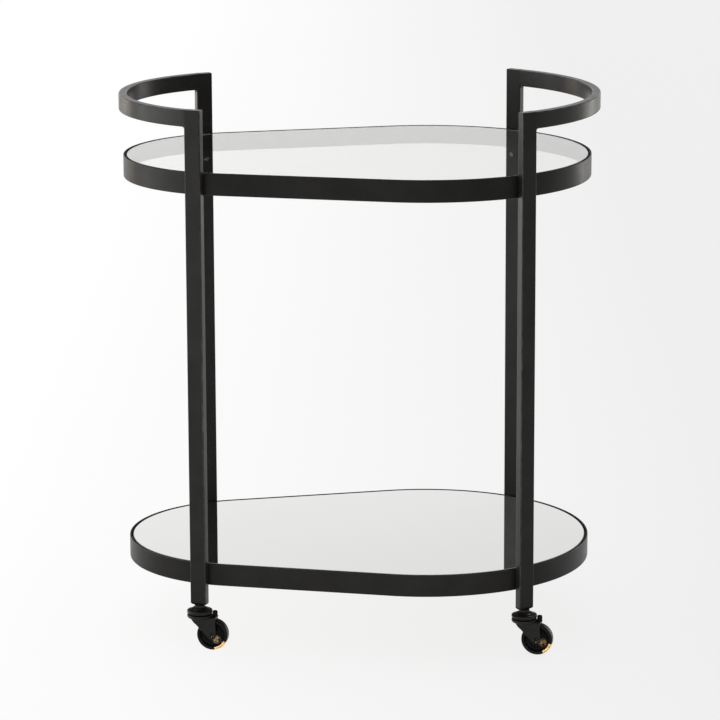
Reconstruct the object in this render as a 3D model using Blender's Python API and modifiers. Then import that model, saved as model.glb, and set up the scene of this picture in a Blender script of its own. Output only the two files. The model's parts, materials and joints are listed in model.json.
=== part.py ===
"""Bar cart: clear glass top shelf, mirror bottom shelf, black tube frame with two curved
handles, four swivel casters.  Metres, +Z up, +X along the length, front is -Y.
The floor is Z = 0 and the origin is the middle of the footprint."""
import math

import bmesh
import bpy
from mathutils import Matrix, Vector

# ---------------------------------------------------------------- driving dimensions
GAP = 0.0003                 # clearance between touching pieces

HALF_LENGTH = 0.3645         # from the middle to the outside of each handle
LEFT_HANDLE_FLAT = 0.0070    # the left handle bends this much flatter than the rim below it
SHELF_R_LEFT = 0.194         # outer radius of the shelf rims, narrow end
SHELF_R_RIGHT = 0.252        # outer radius of the shelf rims, wide end
ARC_STEP = math.radians(5.0)

TUBE_W = 0.0254              # frame tube, wide side
TUBE_T = 0.0127              # frame tube, narrow side
TUBE_WALL = 0.0015
TUBE_R = 0.0018              # outside corner radius of the tube
LEG_TURN_LEFT = math.radians(23.2)     # leg position round the rim, away from the Y axis
LEG_TURN_RIGHT = math.radians(34.0)
HANDLE_TOP_Z = 0.822
LEG_BOTTOM_Z = 0.0723        # lower end of the tube, the plug flange sits under it

RIM_HEIGHT = 0.0335
RIM_THICK = 0.0030
RIM_EDGE_R = 0.0007
TOP_RIM_Z = 0.728            # upper edge of the top rim
LOW_RIM_Z = 0.132            # upper edge of the bottom rim
SHELF_INSET = 0.0005         # shelf surface below the upper edge of its rim
SHELF_PLAY = 0.0010          # gap all round between the shelf and the rim
GLASS_THICK = 0.0050
GLASS_ARRIS = 0.0006
MIRROR_THICK = 0.0040
MIRROR_ARRIS = 0.0010
BACKING_THICK = 0.0030
LEDGE_WIDTH = 0.0100
LEDGE_THICK = 0.0030
PAD_R = 0.0045
PAD_THICK = 0.0010

LUG_WIDTH = 0.0150           # lug below the rim, behind each leg
LUG_DROP = 0.0180
LUG_OVERLAP = 0.0060
SCREW_DROP = 0.0105          # screw centre below the rim
SCREW_R = 0.0020
SCREW_HOLE_R = 0.0024
SCREW_HEAD_R = 0.0040
SCREW_HEAD_H = 0.0022
SCREW_LENGTH = 0.0090
SOCKET_R = 0.00145

PLUG_FLANGE = 0.0030
PLUG_CHAMFER = 0.0018
PLUG_DEPTH = 0.0120
PLUG_BORE_R = 0.0043
STEM_RISE = 0.0140           # stem pin above the underside of the plug

WHEEL_R = 0.0236
WHEEL_W = 0.0160
WHEEL_TRAIL = 0.0200
TREAD_INNER_R = 0.0193
PIN_R = 0.0040
NECK_R = 0.0080
CUP_R = 0.0194
CUP_TOP_Z = 0.0616
CUP_LOW_Z = 0.0552
PLATE_TOP_Z = 0.0547
PLATE_LOW_Z = 0.0485
FORK_HALF_W = 0.0117
FORK_WALL = 0.0020
ARM_END_R = 0.0072
TAIL_FROM_X = 0.0100         # joins the arms behind the swivel plate
TAIL_TO_X = 0.0254
STOP_R = 0.0030              # knob standing on the tail beside the cup
STOP_X = 0.0228
AXLE_R = 0.0022
AXLE_HEAD_R = 0.0042
AXLE_HEAD_H = 0.0016
CASTER_TURN = {
    "front_left": math.radians(-10.0),
    "front_right": math.radians(-12.0),
    "back_left": math.radians(-4.0),
    "back_right": math.radians(-9.0),
}

CENTRE_LEFT = -(HALF_LENGTH + LEFT_HANDLE_FLAT - TUBE_T - SHELF_R_LEFT)
CENTRE_RIGHT = HALF_LENGTH - TUBE_T - SHELF_R_RIGHT
GLASS_LOW = TOP_RIM_Z - SHELF_INSET - GLASS_THICK
PAD_LOW = GLASS_LOW - GAP - PAD_THICK
MIRROR_LOW = LOW_RIM_Z - SHELF_INSET - MIRROR_THICK
BACKING_LOW = MIRROR_LOW - GAP - BACKING_THICK
PLUG_LOW = LEG_BOTTOM_Z - GAP - PLUG_FLANGE
CORNERS = ("front_left", "front_right", "back_left", "back_right")
SCREW_LEVELS = {
    "top": TOP_RIM_Z - RIM_HEIGHT - SCREW_DROP,
    "low": LOW_RIM_Z - RIM_HEIGHT - SCREW_DROP,
}

# ---------------------------------------------------------------- scene
for old in list(bpy.data.objects):
    bpy.data.objects.remove(old)
PARTS = bpy.data.collections.new("bar_cart")
CUTTERS = bpy.data.collections.new("bar_cart_cutters")
bpy.context.scene.collection.children.link(PARTS)
bpy.context.scene.collection.children.link(CUTTERS)

# name: base colour, roughness, metallic, transmission
LOOKS = {
    "frame": ((0.022, 0.022, 0.020), 0.45, 0.0, 0.0),
    "rim": ((0.024, 0.024, 0.022), 0.42, 0.0, 0.0),
    "ledge": ((0.020, 0.020, 0.019), 0.50, 0.0, 0.0),
    "glass": ((0.93, 0.96, 0.95), 0.02, 0.0, 1.0),
    "mirror": ((0.90, 0.91, 0.91), 0.03, 1.0, 0.0),
    "backing": ((0.10, 0.08, 0.06), 0.80, 0.0, 0.0),
    "screw": ((0.10, 0.10, 0.10), 0.30, 1.0, 0.0),
    "pad": ((0.60, 0.62, 0.60), 0.40, 0.0, 0.0),
    "plug": ((0.018, 0.018, 0.018), 0.50, 0.0, 0.0),
    "caster": ((0.030, 0.029, 0.027), 0.35, 0.0, 0.0),
    "axle": ((0.09, 0.075, 0.05), 0.35, 1.0, 0.0),
    "wheel": ((0.012, 0.011, 0.011), 0.40, 0.0, 0.0),
    "tread": ((0.026, 0.025, 0.024), 0.35, 0.0, 0.0),
}


def part_material(name, look):
    color, roughness, metallic, transmission = LOOKS[look]
    mat = bpy.data.materials.new(name)
    mat.use_nodes = True
    shader = mat.node_tree.nodes["Principled BSDF"]
    shader.inputs["Base Color"].default_value = (*color, 1.0)
    shader.inputs["Roughness"].default_value = roughness
    shader.inputs["Metallic"].default_value = metallic
    shader.inputs["Transmission Weight"].default_value = transmission
    mat.diffuse_color = (*color, 1.0)
    return mat


def add_part(name, mesh, look, location=(0, 0, 0), rotation=(0, 0, 0), parent=None):
    """One named sub-part with a material of its own."""
    obj = bpy.data.objects.new(name, mesh)
    PARTS.objects.link(obj)
    if not mesh.materials:
        mesh.materials.append(None)
    slot = obj.material_slots[0]
    slot.link = "OBJECT"
    slot.material = part_material(name + "_mat", look)
    obj.location = location
    obj.rotation_euler = rotation
    obj.parent = parent
    return obj


# ---------------------------------------------------------------- modelling helpers
def helper(name, data, location=(0, 0, 0), rotation=(0, 0, 0)):
    """Object used only to make a shape: kept out of the part."""
    obj = bpy.data.objects.new(name, data)
    CUTTERS.objects.link(obj)
    obj.hide_render = True
    obj.display_type = "WIRE"
    obj.location = location
    obj.rotation_euler = rotation
    return obj


def bake(obj, *used):
    """Evaluated mesh of a helper object, welded, smooth on curved walls only."""
    bpy.context.view_layer.update()
    graph = bpy.context.evaluated_depsgraph_get()
    mesh = bpy.data.meshes.new_from_object(obj.evaluated_get(graph))
    for item in (obj, *used):
        bpy.data.objects.remove(item)
    bm = bmesh.new()
    bm.from_mesh(mesh)
    bmesh.ops.remove_doubles(bm, verts=bm.verts, dist=1e-6)
    bmesh.ops.dissolve_degenerate(bm, edges=bm.edges, dist=1e-6)
    bmesh.ops.recalc_face_normals(bm, faces=bm.faces)
    bm.to_mesh(mesh)
    bm.free()
    mesh.shade_smooth()
    mesh.set_sharp_from_angle(angle=math.radians(32.0))
    return mesh


def add_bevel(obj, width, segments):
    mod = obj.modifiers.new("edges", "BEVEL")
    mod.width = width
    mod.segments = segments
    mod.limit_method = "ANGLE"
    mod.angle_limit = math.radians(60.0)


def add_wall(obj, thickness):
    """Thickness added inwards from the surface."""
    mod = obj.modifiers.new("wall", "SOLIDIFY")
    mod.thickness = thickness
    mod.offset = -1.0
    mod.use_even_offset = True


def boolean(mesh, tools, operation):
    """The mesh joined with, or cut by, each tool object."""
    base = helper("boolean_base", mesh)
    for tool in tools:
        mod = base.modifiers.new("boolean", "BOOLEAN")
        mod.operation = operation
        mod.solver = "EXACT"
        mod.object = tool
    return bake(base, *tools)


def box_tool(size, location, rotation=(0, 0, 0)):
    """Box with its size already applied."""
    bm = bmesh.new()
    bmesh.ops.create_cube(bm, size=1.0, matrix=Matrix.Diagonal((*size, 1.0)))
    mesh = bpy.data.meshes.new("box")
    bm.to_mesh(mesh)
    bm.free()
    return helper("box", mesh, location, rotation)


def rod_mesh(radius, length, segments):
    bm = bmesh.new()
    bmesh.ops.create_cone(bm, cap_ends=True, segments=segments, radius1=radius, radius2=radius, depth=length)
    mesh = bpy.data.meshes.new("rod")
    bm.to_mesh(mesh)
    bm.free()
    return mesh


def rod_tool(radius, length, segments, location, rotation=(0, 0, 0)):
    return helper("rod", rod_mesh(radius, length, segments), location, rotation)


def turned(profile, steps, bored=False):
    """Profile of (radius, z) points, top to bottom, turned about Z with a Screw."""
    bm = bmesh.new()
    verts = [bm.verts.new((radius, 0, z)) for radius, z in profile]
    for start, end in zip(verts, verts[1:]):
        bm.edges.new((start, end))
    if bored:
        bm.edges.new((verts[-1], verts[0]))
    mesh = bpy.data.meshes.new("profile")
    bm.to_mesh(mesh)
    bm.free()
    obj = helper("turned", mesh)
    mod = obj.modifiers.new("turn", "SCREW")
    mod.axis = "Z"
    mod.angle = 2 * math.pi
    mod.steps = steps
    mod.render_steps = steps
    mod.use_merge_vertices = True
    mod.merge_threshold = 0.00001
    return bake(obj)


def mirrored(half):
    """Profile for both ends of a wheel part from the points of its upper half."""
    return half + [(radius, -z) for radius, z in reversed(half)]


def flat_curve(points, height, filled):
    """2D outline raised to a height about its own plane."""
    curve = bpy.data.curves.new("outline", "CURVE")
    curve.dimensions = "2D"
    curve.fill_mode = "BOTH" if filled else "NONE"
    curve.extrude = height / 2
    spline = curve.splines.new("POLY")
    spline.points.add(len(points) - 1)
    for point, (x, y) in zip(spline.points, points):
        point.co = (x, y, 0, 1)
    spline.use_cyclic_u = True
    return curve


def outline_mesh(points, height, filled, mid_z):
    mesh = bake(helper("outline", flat_curve(points, height, filled)))
    mesh.transform(Matrix.Translation((0, 0, mid_z)))
    return mesh


def arc(centre_x, radius, start, end):
    """Points on a circle about (centre_x, 0), both ends included."""
    count = round(abs(end - start) / ARC_STEP)
    out = []
    for i in range(count + 1):
        angle = start + (end - start) * i / count
        out.append((centre_x + radius * math.cos(angle), radius * math.sin(angle)))
    return out


def shelf_outline(inset):
    """Egg-shaped shelf outline: two circles joined by their common tangents."""
    lean = math.asin((SHELF_R_RIGHT - SHELF_R_LEFT) / (CENTRE_RIGHT - CENTRE_LEFT))
    side = math.pi / 2 + lean
    right = arc(CENTRE_RIGHT, SHELF_R_RIGHT - inset, -side, side)
    left = arc(CENTRE_LEFT, SHELF_R_LEFT - inset, side, 2 * math.pi - side)
    return right + left


def band_mesh(inset, width, height, top_z, edge):
    """Flat bar bent round the shelf outline."""
    obj = helper("band", outline_mesh(shelf_outline(inset), height, False, top_z - height / 2))
    add_wall(obj, width)
    if edge:
        add_bevel(obj, edge, 1)
    return bake(obj)


def plate_mesh(thick, low_z, edge):
    """Flat plate to the shelf outline with ground edges."""
    points = shelf_outline(RIM_THICK + SHELF_PLAY)
    obj = helper("plate", outline_mesh(points, thick, True, low_z + thick / 2))
    add_bevel(obj, edge, 1)
    return bake(obj)


# ---------------------------------------------------------------- legs
def leg_spot(corner):
    """Leg centre on the floor and its turn about Z: local +Y points out of the cart."""
    right = corner.endswith("right")
    front = corner.startswith("front")
    turn = LEG_TURN_RIGHT if right else LEG_TURN_LEFT
    reach = (SHELF_R_RIGHT if right else SHELF_R_LEFT) + GAP + TUBE_T / 2
    centre_x = CENTRE_RIGHT if right else CENTRE_LEFT
    out_x = math.sin(turn) if right else -math.sin(turn)
    out_y = -math.cos(turn) if front else math.cos(turn)
    return Vector((centre_x + reach * out_x, reach * out_y, 0)), math.atan2(-out_x, out_y)


def leg_matrix(corner):
    centre, turn = leg_spot(corner)
    return Matrix.Translation(centre) @ Matrix.Rotation(turn, 4, "Z")


def leg_mesh():
    """Square-cut tube, closed at the top, open below, drilled for two screws."""
    length = HANDLE_TOP_Z - LEG_BOTTOM_Z
    bm = bmesh.new()
    bmesh.ops.create_cube(bm, size=1.0, matrix=Matrix.Diagonal((TUBE_W, TUBE_T, length, 1.0)))
    bottom = [face for face in bm.faces if face.normal.z < -0.5]
    bmesh.ops.delete(bm, geom=bottom, context="FACES_ONLY")
    mesh = bpy.data.meshes.new("leg")
    bm.to_mesh(mesh)
    bm.free()
    mesh.transform(Matrix.Translation((0, 0, LEG_BOTTOM_Z + length / 2)))
    obj = helper("leg", mesh)
    add_bevel(obj, TUBE_R, 2)
    add_wall(obj, TUBE_WALL)
    holes = []
    for z in SCREW_LEVELS.values():
        spot = (0, -TUBE_T / 2, z)
        holes.append(rod_tool(SCREW_HOLE_R, 4 * TUBE_WALL, 12, spot, (math.pi / 2, 0, 0)))
    return boolean(bake(obj), holes, "DIFFERENCE")


LEG = leg_mesh()
for corner in CORNERS:
    place, turn = leg_spot(corner)
    add_part("leg_" + corner, LEG, "frame", place, (0, 0, turn))


# ---------------------------------------------------------------- handles
def section_curve():
    """Rounded rectangular section of the handle tube."""
    bm = bmesh.new()
    bmesh.ops.create_cube(bm, size=1.0, matrix=Matrix.Diagonal((TUBE_T, TUBE_W, TUBE_T, 1.0)))
    corners = [edge for edge in bm.edges if abs((edge.verts[0].co - edge.verts[1].co).z) > 0.001]
    bmesh.ops.bevel(bm, geom=corners, offset=TUBE_R, segments=2, profile=0.5, affect="EDGES")
    top = max(bm.faces, key=lambda face: face.calc_center_median().z)
    points = [(vert.co.x, vert.co.y) for vert in top.verts]
    bm.free()
    return helper("section", flat_curve(points, 0.0, False))


def handle_arc(side):
    """Centre, radius and half angle of the bend through both legs' narrow sides and the end."""
    left = side == "left"
    joint = leg_matrix("front_" + side) @ Vector((TUBE_W / 2 if left else -TUBE_W / 2, 0, 0))
    end_x = (TUBE_T / 2 - HALF_LENGTH) if left else (HALF_LENGTH - TUBE_T / 2)
    centre_x = (end_x ** 2 - joint.x ** 2 - joint.y ** 2) / (2 * (end_x - joint.x))
    return centre_x, abs(end_x - centre_x), math.atan2(abs(joint.y), abs(joint.x - centre_x))


def handle_mesh(side):
    """Hollow tube bent round the end of the cart, cut flat against both legs."""
    centre_x, radius, half = handle_arc(side)
    half += TUBE_W / 2 / radius
    middle = math.pi if side == "left" else 0.0
    curve = bpy.data.curves.new("handle", "CURVE")
    curve.dimensions = "3D"
    curve.twist_mode = "Z_UP"
    section = section_curve()
    curve.bevel_mode = "OBJECT"
    curve.bevel_object = section
    spline = curve.splines.new("POLY")
    points = arc(centre_x, radius, middle - half, middle + half)
    spline.points.add(len(points) - 1)
    for point, (x, y) in zip(spline.points, points):
        point.co = (x, y, HANDLE_TOP_Z - TUBE_W / 2, 1)
    tube = helper("tube", bake(helper("handle_path", curve), section))
    add_wall(tube, TUBE_WALL)
    ends = []
    for corner in ("front_" + side, "back_" + side):
        centre, turn = leg_spot(corner)
        size = (TUBE_W + 2 * GAP, 3 * TUBE_T, 3 * TUBE_W)
        ends.append(box_tool(size, centre + Vector((0, 0, HANDLE_TOP_Z)), (0, 0, turn)))
    return boolean(bake(tube), ends, "DIFFERENCE")


for side in ("left", "right"):
    add_part("handle_" + side, handle_mesh(side), "frame")


# ---------------------------------------------------------------- shelf rims and ledges
def rim_mesh(top_z, level):
    """Flat-bar rim with a drilled lug hanging behind each leg."""
    band = band_mesh(0.0, RIM_THICK, RIM_HEIGHT, top_z, RIM_EDGE_R)
    lugs = []
    holes = []
    face_y = -(TUBE_T / 2 + GAP)
    for corner in CORNERS:
        centre, turn = leg_spot(corner)
        place = leg_matrix(corner)
        size = (LUG_WIDTH, RIM_THICK - 0.0004, LUG_DROP + LUG_OVERLAP)
        middle_z = top_z - RIM_HEIGHT + (LUG_OVERLAP - LUG_DROP) / 2
        lugs.append(box_tool(size, place @ Vector((0, face_y - RIM_THICK / 2, middle_z)), (0, 0, turn)))
        spot = place @ Vector((0, face_y - RIM_THICK / 2, SCREW_LEVELS[level]))
        holes.append(rod_tool(SCREW_HOLE_R, 3 * RIM_THICK, 12, spot, (math.pi / 2, 0, turn)))
    return boolean(boolean(band, lugs, "UNION"), holes, "DIFFERENCE")


add_part("rim_top", rim_mesh(TOP_RIM_Z, "top"), "rim")
add_part("rim_bottom", rim_mesh(LOW_RIM_Z, "low"), "rim")
LEDGE_INSET = RIM_THICK + GAP
add_part("ledge_top", band_mesh(LEDGE_INSET, LEDGE_WIDTH, LEDGE_THICK, PAD_LOW - GAP, 0.0), "ledge")
add_part("ledge_bottom", band_mesh(LEDGE_INSET, LEDGE_WIDTH, LEDGE_THICK, BACKING_LOW - GAP, 0.0), "ledge")

# ---------------------------------------------------------------- shelves
add_part("top_glass", plate_mesh(GLASS_THICK, GLASS_LOW, GLASS_ARRIS), "glass")
add_part("mirror", plate_mesh(MIRROR_THICK, MIRROR_LOW, MIRROR_ARRIS), "mirror")
add_part("mirror_backing", plate_mesh(BACKING_THICK, BACKING_LOW, GLASS_ARRIS), "backing")

PAD = rod_mesh(PAD_R, PAD_THICK, 16)
PAD_ANGLES = {
    "front_left": math.radians(239.0),
    "left": math.radians(180.0),
    "back_left": math.radians(121.0),
    "front_right": math.radians(-51.0),
    "right": 0.0,
    "back_right": math.radians(51.0),
}
for where, angle in PAD_ANGLES.items():
    right = where.endswith("right")
    reach = (SHELF_R_RIGHT if right else SHELF_R_LEFT) - LEDGE_INSET - LEDGE_WIDTH / 2
    x = (CENTRE_RIGHT if right else CENTRE_LEFT) + reach * math.cos(angle)
    spot = (x, reach * math.sin(angle), PAD_LOW + PAD_THICK / 2)
    add_part("glass_pad_" + where, PAD, "pad", spot)


# ---------------------------------------------------------------- screws
def screw_mesh():
    """Button-head socket screw, head up, underside of the head at Z = 0."""
    profile = [(0, SCREW_HEAD_H)]
    for step in (60, 30):
        angle = math.radians(step)
        radius = SCREW_HEAD_R * (0.35 + 0.65 * math.cos(angle))
        profile.append((radius, SCREW_HEAD_H * (0.3 + 0.7 * math.sin(angle))))
    profile += [(SCREW_HEAD_R, SCREW_HEAD_H * 0.3), (SCREW_HEAD_R, 0)]
    profile += [(SCREW_R, 0), (SCREW_R, -SCREW_LENGTH), (0, -SCREW_LENGTH)]
    socket = rod_tool(SOCKET_R, 0.0026, 6, (0, 0, SCREW_HEAD_H))
    return boolean(turned(profile, 12), [socket], "DIFFERENCE")


SCREW = screw_mesh()
SCREW_SEAT_Y = -(TUBE_T / 2 + 2 * GAP + RIM_THICK)
for corner in CORNERS:
    place = leg_matrix(corner)
    turn = leg_spot(corner)[1]
    for level, z in SCREW_LEVELS.items():
        spot = place @ Vector((0, SCREW_SEAT_Y, z))
        add_part(f"screw_{level}_{corner}", SCREW, "screw", spot, (math.pi / 2, 0, turn))


# ---------------------------------------------------------------- leg plugs
def plug_mesh():
    """Insert inside the tube with a chamfered flange under it, bored for the stem."""
    bm = bmesh.new()
    bmesh.ops.create_cube(bm, size=1.0, matrix=Matrix.Diagonal((TUBE_W, TUBE_T, PLUG_FLANGE, 1.0)))
    sides = [edge for edge in bm.edges if abs(edge.verts[0].co.z - edge.verts[1].co.z) > PLUG_FLANGE / 2]
    bmesh.ops.bevel(bm, geom=sides, offset=TUBE_R, segments=2, profile=0.5, affect="EDGES")
    under = [edge for edge in bm.edges if max(vert.co.z for vert in edge.verts) < 0]
    bmesh.ops.bevel(bm, geom=under, offset=PLUG_CHAMFER * 0.6, segments=1, affect="EDGES")
    mesh = bpy.data.meshes.new("flange")
    bm.to_mesh(mesh)
    bm.free()
    mesh.transform(Matrix.Translation((0, 0, PLUG_LOW + PLUG_FLANGE / 2)))
    fit_w = TUBE_W - 2 * TUBE_WALL - 2 * GAP
    fit_t = TUBE_T - 2 * TUBE_WALL - 2 * GAP
    low = PLUG_LOW + PLUG_FLANGE / 2
    high = PLUG_LOW + PLUG_FLANGE + PLUG_DEPTH
    insert = box_tool((fit_w, fit_t, high - low), (0, 0, (low + high) / 2))
    add_bevel(insert, 0.0005, 1)
    bore = rod_tool(PLUG_BORE_R, 4 * PLUG_DEPTH, 16, (0, 0, high))
    return boolean(boolean(mesh, [insert], "UNION"), [bore], "DIFFERENCE")


PLUG = plug_mesh()
for corner in CORNERS:
    place, turn = leg_spot(corner)
    add_part("leg_plug_" + corner, PLUG, "plug", place, (0, 0, turn))

# ---------------------------------------------------------------- caster stem and bearing cup
NECK_TOP = PLUG_LOW - GAP
NECK_LOW = CUP_TOP_Z + GAP
KING_TOP = PLATE_LOW_Z - GAP
SHAFT_R = PIN_R - 0.0004
STEM = turned([
    (0, PLUG_LOW + STEM_RISE),
    (PIN_R - 0.0006, PLUG_LOW + STEM_RISE),
    (PIN_R, PLUG_LOW + STEM_RISE - 0.0006),
    (PIN_R, NECK_TOP),
    (NECK_R - 0.0005, NECK_TOP),
    (NECK_R, NECK_TOP - 0.0005),
    (NECK_R, NECK_LOW + 0.0012),
    (NECK_R + 0.0012, NECK_LOW),
    (SHAFT_R, NECK_LOW),
    (SHAFT_R, KING_TOP),
    (0.0062, KING_TOP),
    (0.0062, KING_TOP - 0.0012),
    (0.0048, KING_TOP - 0.0026),
    (0, KING_TOP - 0.0029),
], 16)
CUP = turned([
    (PIN_R + GAP, CUP_TOP_Z),
    (CUP_R - 0.0082, CUP_TOP_Z),
    (CUP_R - 0.0051, CUP_TOP_Z - 0.0004),
    (CUP_R - 0.0017, CUP_TOP_Z - 0.0016),
    (CUP_R, CUP_TOP_Z - 0.0038),
    (CUP_R, CUP_LOW_Z + 0.0008),
    (CUP_R - 0.0009, CUP_LOW_Z),
    (PIN_R + GAP, CUP_LOW_Z),
], 20, bored=True)


# ---------------------------------------------------------------- fork, axle and wheel
def arm_points():
    """Side view of a fork arm: wide at the plate, round at the axle."""
    points = [
        (-0.0125, PLATE_LOW_Z + 0.0030),
        (-0.0120, PLATE_LOW_Z + 0.0004),
        (-0.0085, PLATE_LOW_Z - 0.0035),
    ]
    for step in range(7):
        angle = math.radians(215.0 + 22.5 * step)
        points.append((WHEEL_TRAIL + ARM_END_R * math.cos(angle), WHEEL_R + ARM_END_R * math.sin(angle)))
    points += [
        (0.0256, PLATE_LOW_Z - 0.0050),
        (0.0250, PLATE_LOW_Z + 0.0018),
        (0.0236, PLATE_LOW_Z + 0.0030),
    ]
    return points


def fork_mesh():
    plate = turned([
        (PIN_R + 2 * GAP, PLATE_TOP_Z),
        (CUP_R - 0.0013, PLATE_TOP_Z),
        (CUP_R, PLATE_TOP_Z - 0.0012),
        (CUP_R, PLATE_LOW_Z + 0.0018),
        (CUP_R - 0.0020, PLATE_LOW_Z),
        (PIN_R + 2 * GAP, PLATE_LOW_Z),
    ], 20, bored=True)
    arm = bake(helper("arm", flat_curve(arm_points(), FORK_WALL, True)))
    offset = FORK_HALF_W - FORK_WALL / 2
    joins = [helper("arm", arm, (0, side * offset, 0), (math.pi / 2, 0, 0)) for side in (-1, 1)]
    tail_w = 2 * FORK_HALF_W - 0.0008
    tail_size = (TAIL_TO_X - TAIL_FROM_X, tail_w, 0.0028)
    joins.append(box_tool(tail_size, ((TAIL_FROM_X + TAIL_TO_X) / 2, 0, PLATE_LOW_Z + 0.0016)))
    stop = turned([
        (0, CUP_TOP_Z - 0.0006),
        (STOP_R * 0.4, CUP_TOP_Z - 0.0007),
        (STOP_R * 0.8, CUP_TOP_Z - 0.0013),
        (STOP_R, CUP_TOP_Z - 0.0025),
        (STOP_R, PLATE_LOW_Z + 0.0012),
        (0, PLATE_LOW_Z + 0.0012),
    ], 10)
    joins.append(helper("stop", stop, (STOP_X, 0, 0)))
    axle_hole = rod_tool(AXLE_R + GAP, 4 * FORK_HALF_W, 12, (WHEEL_TRAIL, 0, WHEEL_R), (math.pi / 2, 0, 0))
    return boolean(boolean(plate, joins, "UNION"), [axle_hole], "DIFFERENCE")


HEAD_IN = FORK_HALF_W + GAP
HEAD_OUT = HEAD_IN + AXLE_HEAD_H
HUB_HALF = FORK_HALF_W - FORK_WALL - 2 * GAP
CORE_HALF = WHEEL_W / 2 - 0.0010
TREAD_HALF = WHEEL_W / 2
AXLE = turned(mirrored([
    (0, HEAD_OUT),
    (0.0030, HEAD_OUT - 0.0003),
    (AXLE_HEAD_R, HEAD_IN + 0.0004),
    (AXLE_HEAD_R, HEAD_IN),
    (AXLE_R, HEAD_IN),
]), 12)
WHEEL = turned(mirrored([
    (AXLE_R + GAP, HUB_HALF),
    (0.0056, HUB_HALF),
    (0.0062, 0.0040),
    (0.0152, 0.0036),
    (0.0168, CORE_HALF),
    (TREAD_INNER_R - GAP, CORE_HALF),
]), 22, bored=True)
TREAD = turned(mirrored([
    (TREAD_INNER_R, TREAD_HALF),
    (WHEEL_R - 0.0016, TREAD_HALF),
    (WHEEL_R - 0.0004, TREAD_HALF - 0.0010),
    (WHEEL_R, TREAD_HALF - 0.0028),
]), 28, bored=True)
FORK = fork_mesh()

for corner in CORNERS:
    centre = leg_spot(corner)[0]
    swivel = bpy.data.objects.new(f"swivel_axis_{corner}", None)
    hub = bpy.data.objects.new(f"wheel_axis_{corner}", None)
    for axis in (swivel, hub):
        PARTS.objects.link(axis)
    swivel.location = centre
    swivel.rotation_euler = (0, 0, CASTER_TURN[corner])
    hub.parent = swivel
    hub.location = (WHEEL_TRAIL, 0, WHEEL_R)
    hub.rotation_euler = (math.pi / 2, 0, 0)
    add_part(f"caster_{corner}_stem", STEM, "caster", centre)
    add_part(f"caster_{corner}_cup", CUP, "caster", centre)
    add_part(f"caster_{corner}_fork", FORK, "caster", parent=swivel)
    add_part(f"caster_{corner}_axle", AXLE, "axle", parent=hub)
    add_part(f"caster_{corner}_wheel", WHEEL, "wheel", parent=hub)
    add_part(f"caster_{corner}_tread", TREAD, "tread", parent=hub)

for unused in [mesh for mesh in bpy.data.meshes if mesh.users == 0]:
    bpy.data.meshes.remove(unused)
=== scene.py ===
import json
import math

import bmesh
import bpy
from mathutils import Matrix, Vector


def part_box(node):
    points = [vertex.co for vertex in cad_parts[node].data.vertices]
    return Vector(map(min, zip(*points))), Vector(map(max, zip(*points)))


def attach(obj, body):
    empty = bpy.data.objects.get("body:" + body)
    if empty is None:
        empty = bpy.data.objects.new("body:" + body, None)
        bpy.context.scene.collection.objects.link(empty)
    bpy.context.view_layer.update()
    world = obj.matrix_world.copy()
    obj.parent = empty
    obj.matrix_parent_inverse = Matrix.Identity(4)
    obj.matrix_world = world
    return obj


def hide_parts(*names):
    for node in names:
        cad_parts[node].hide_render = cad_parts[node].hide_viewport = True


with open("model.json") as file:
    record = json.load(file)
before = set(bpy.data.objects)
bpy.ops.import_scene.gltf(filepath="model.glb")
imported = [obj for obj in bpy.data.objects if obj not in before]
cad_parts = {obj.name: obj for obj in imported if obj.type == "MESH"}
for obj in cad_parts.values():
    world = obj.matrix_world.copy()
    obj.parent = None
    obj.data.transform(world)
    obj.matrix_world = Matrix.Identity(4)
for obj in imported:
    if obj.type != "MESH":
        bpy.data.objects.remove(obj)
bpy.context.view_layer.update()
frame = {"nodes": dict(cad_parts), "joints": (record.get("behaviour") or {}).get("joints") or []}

# ---------------------------------------------------------------- sizes, in metres
CORNERS = ("front_left", "front_right", "back_left", "back_right")
JOINTS = {joint["name"]: joint for joint in frame["joints"]}
LEG_SPOT = {c: Vector(JOINTS[c + "_swivel_turn"]["pos_m"]) for c in CORNERS}
HUB_SPOT = {c: Vector(JOINTS[c + "_wheel_roll"]["pos_m"]) for c in CORNERS}

SHELF_R = {"left": 0.194, "right": 0.252}
TUBE_W, TUBE_T = 0.0254, 0.0127
HALF_LENGTH = 0.3645
LEFT_HANDLE_FLAT = 0.0070
CENTRE_X = {
    "left": -(HALF_LENGTH + LEFT_HANDLE_FLAT - TUBE_T - SHELF_R["left"]),
    "right": HALF_LENGTH - TUBE_T - SHELF_R["right"],
}
HANDLE_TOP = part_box("leg_front_left")[1].z
LEG_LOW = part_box("leg_front_left")[0].z
RIM_HIGH = {"top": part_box("rim_top")[1].z, "bottom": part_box("rim_bottom")[1].z}
RIM_HEIGHT, RIM_THICK = 0.0335, 0.0030
SHELF_INSET = RIM_THICK + 0.0024     # shelf outline to the edge of the glass and the mirror
TUBE_WALL, TUBE_CORNER = 0.0015, 0.0019
RIM_CORNER = 0.0012
LEDGE_WIDE = 0.0100
LUG_WIDTH, LUG_DROP, LUG_THICK, LUG_GAP = 0.0150, 0.0180, 0.0026, 0.0003
SCREW_DROP = 0.0105                  # lower edge of the rim to the middle of the screw
FILLET_REACH = 0.0034
FACET_SLACK = 0.00024                # keeps the fine curves inside the facets of the CAD model
FINE_STEP = math.radians(1.5)        # turn from one section to the next round a bend
SHARP_TURN = math.radians(34.0)      # faces that meet at more than this keep a sharp edge


# ---------------------------------------------------------------- node materials
def new_material(name):
    """A node material, its tree and its shader."""
    mat = bpy.data.materials.new(name)
    mat.use_nodes = True
    tree = mat.node_tree
    return mat, tree, tree.nodes["Principled BSDF"]


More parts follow.
